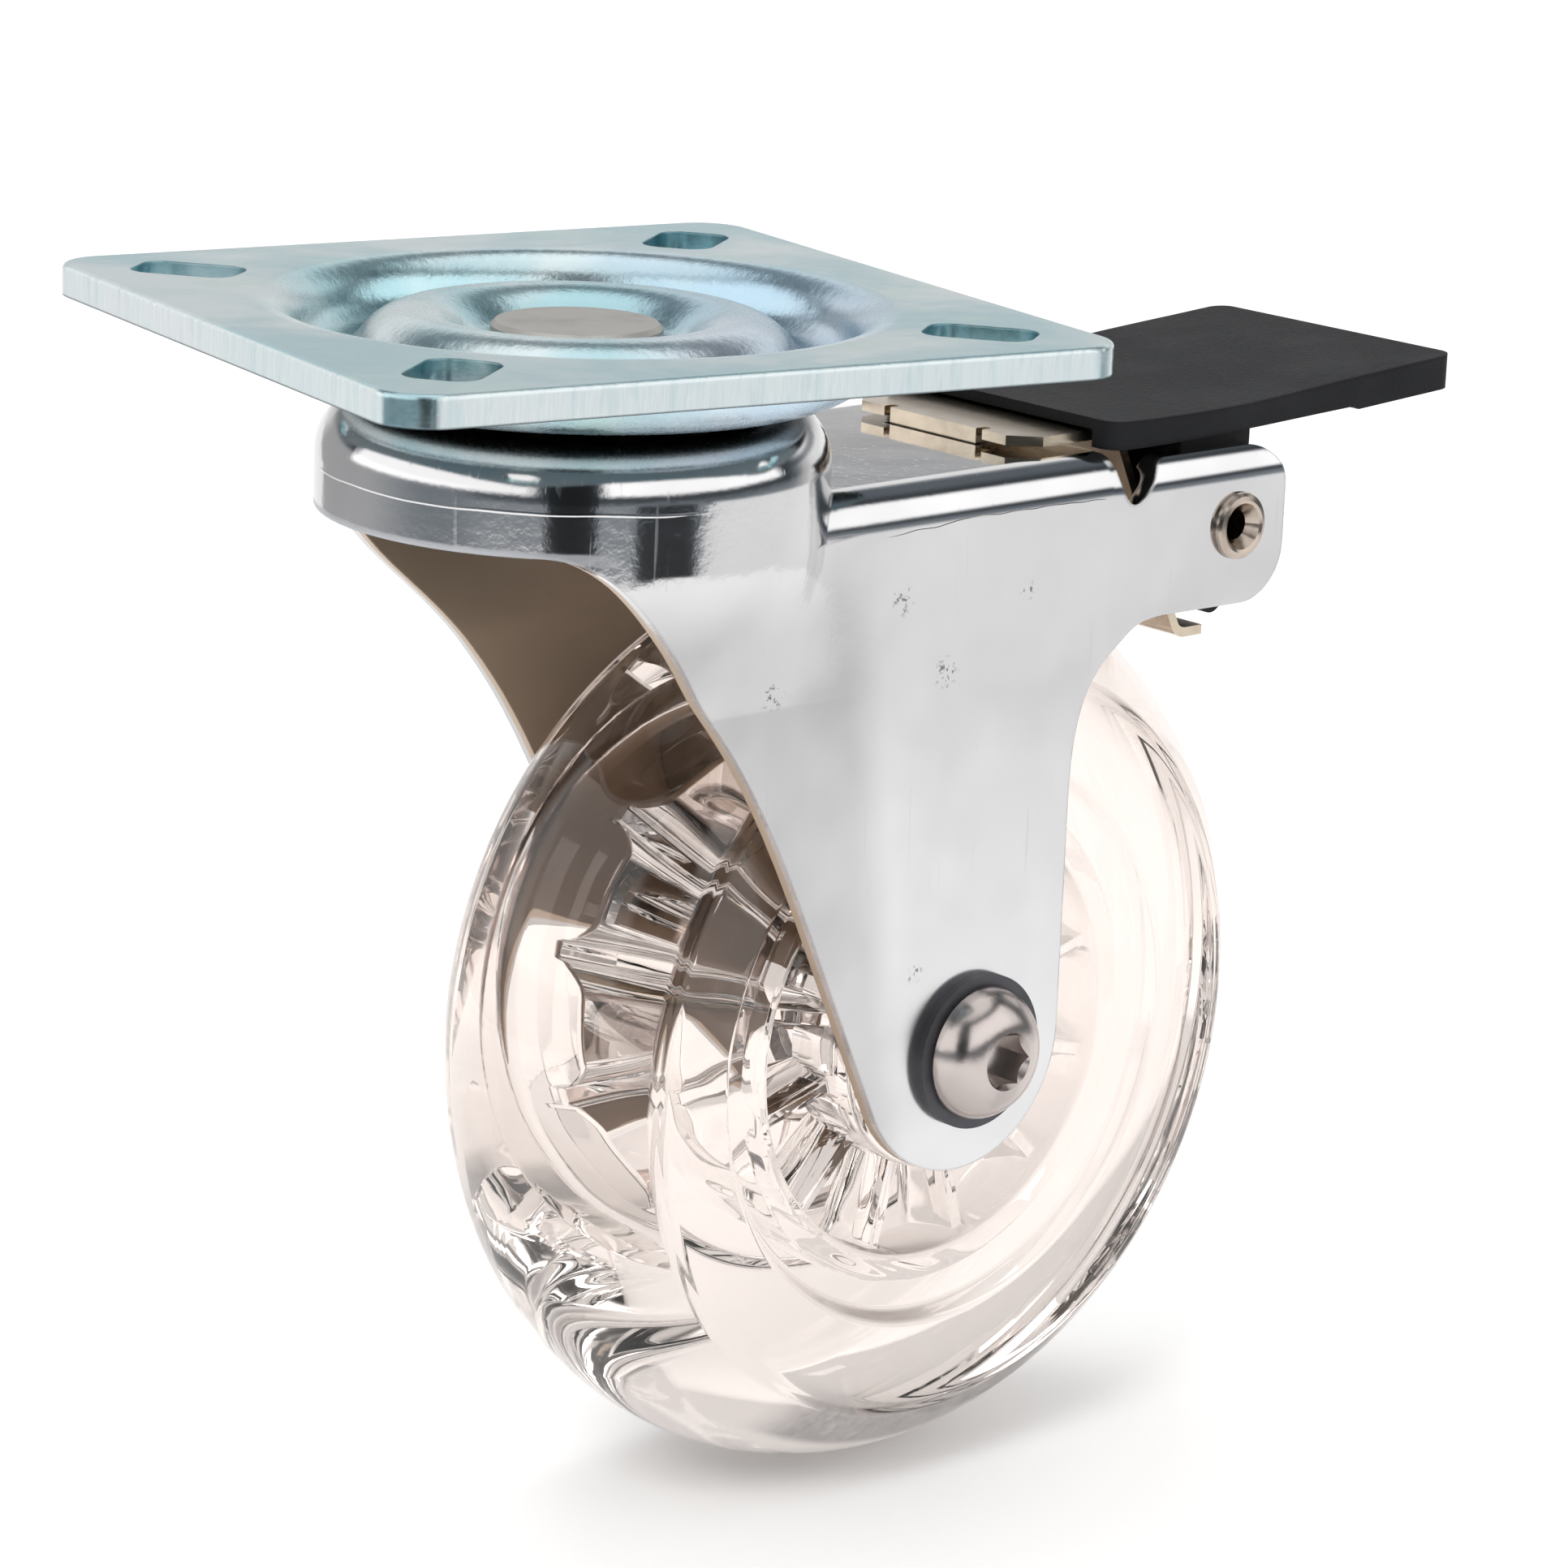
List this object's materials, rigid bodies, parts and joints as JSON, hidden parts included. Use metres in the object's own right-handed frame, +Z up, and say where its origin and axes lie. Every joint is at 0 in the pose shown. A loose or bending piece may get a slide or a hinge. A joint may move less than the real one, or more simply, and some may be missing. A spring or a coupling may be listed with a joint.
{
  "type": "swivel castor",
  "caption": "Furniture swivel castor with a square slotted top plate, a chromed pressed fork, a clear skate-type wheel on ball bearings and a black toe-brake pedal.",
  "frame": {"origin": "centre of the top plate's upper face, on the swivel axis", "axes": "+Z up and out of the plate's upper face, X and Y along the plate's edges; the fork and wheel stand at rest turned 10.8 degrees about +Z from +X"},
  "size_m": [0.115, 0.06, 0.0979],
  "materials": {
    "zinc_plate": "blue-white zinc plating, lightly textured, with a faint green and violet sheen",
    "dull_steel": "dull grey steel, lightly worn",
    "bearing_steel": "ground bearing steel",
    "chrome_sheet": "bright chrome on pressed sheet, with fine scratches",
    "nickel": "nickel plating with a warm tone",
    "black_plastic": "fine-grained black moulded plastic",
    "clear_tyre": "clear polyurethane with a faint warm tint",
    "clear_hub": "clear hard plastic"
  },
  "bodies": {
    "plate": {"top_plate": "zinc_plate", "kingpin": "dull_steel", "lower_race": "bearing_steel", "upper_balls": "bearing_steel", "lower_balls": "bearing_steel"},
    "fork": {"fork": "chrome_sheet", "axle_bolt": "nickel", "axle_nut": "nickel", "bolt_washer": "dull_steel", "nut_washer": "dull_steel", "hub_spacer_near": "dull_steel", "hub_spacer_far": "dull_steel", "bearing_spacer": "dull_steel", "bearing_inner_near": "bearing_steel", "bearing_inner_far": "bearing_steel", "pivot_rivet": "nickel"},
    "wheel": {"wheel_core": "clear_hub", "tyre": "clear_tyre", "bearing_outer_near": "bearing_steel", "bearing_outer_far": "bearing_steel", "bearing_balls_near": "bearing_steel", "bearing_balls_far": "bearing_steel", "bearing_shield_near": "bearing_steel", "bearing_shield_far": "bearing_steel"},
    "pedal": {"brake_pedal": "black_plastic"},
    "lever": {"brake_lever": "nickel"}
  },
  "joints": [
    {"name": "swivel", "type": "hinge", "parent": "plate", "child": "fork", "pos_m": [0, 0, 0], "axis": [0, 0, 1], "continuous": true},
    {"name": "wheel_spin", "type": "hinge", "parent": "fork", "child": "wheel", "pos_m": [0.02976, 0.00568, -0.0604], "axis": [-0.1874, 0.9823, 0], "continuous": true},
    {"name": "pedal_press", "type": "hinge", "parent": "fork", "child": "pedal", "pos_m": [0.05549, 0.01059, -0.0208], "axis": [-0.1874, 0.9823, 0], "range_deg": [0, 28]},
    {"name": "lever_swing", "type": "hinge", "parent": "fork", "child": "lever", "pos_m": [0.03693, 0.00705, -0.014], "axis": [-0.1874, 0.9823, 0], "range_deg": [0, 3.01]}
  ],
  "couplings": [
    {"joint": "lever_swing", "follows": "pedal_press", "ratio": 0.10714}
  ]
}
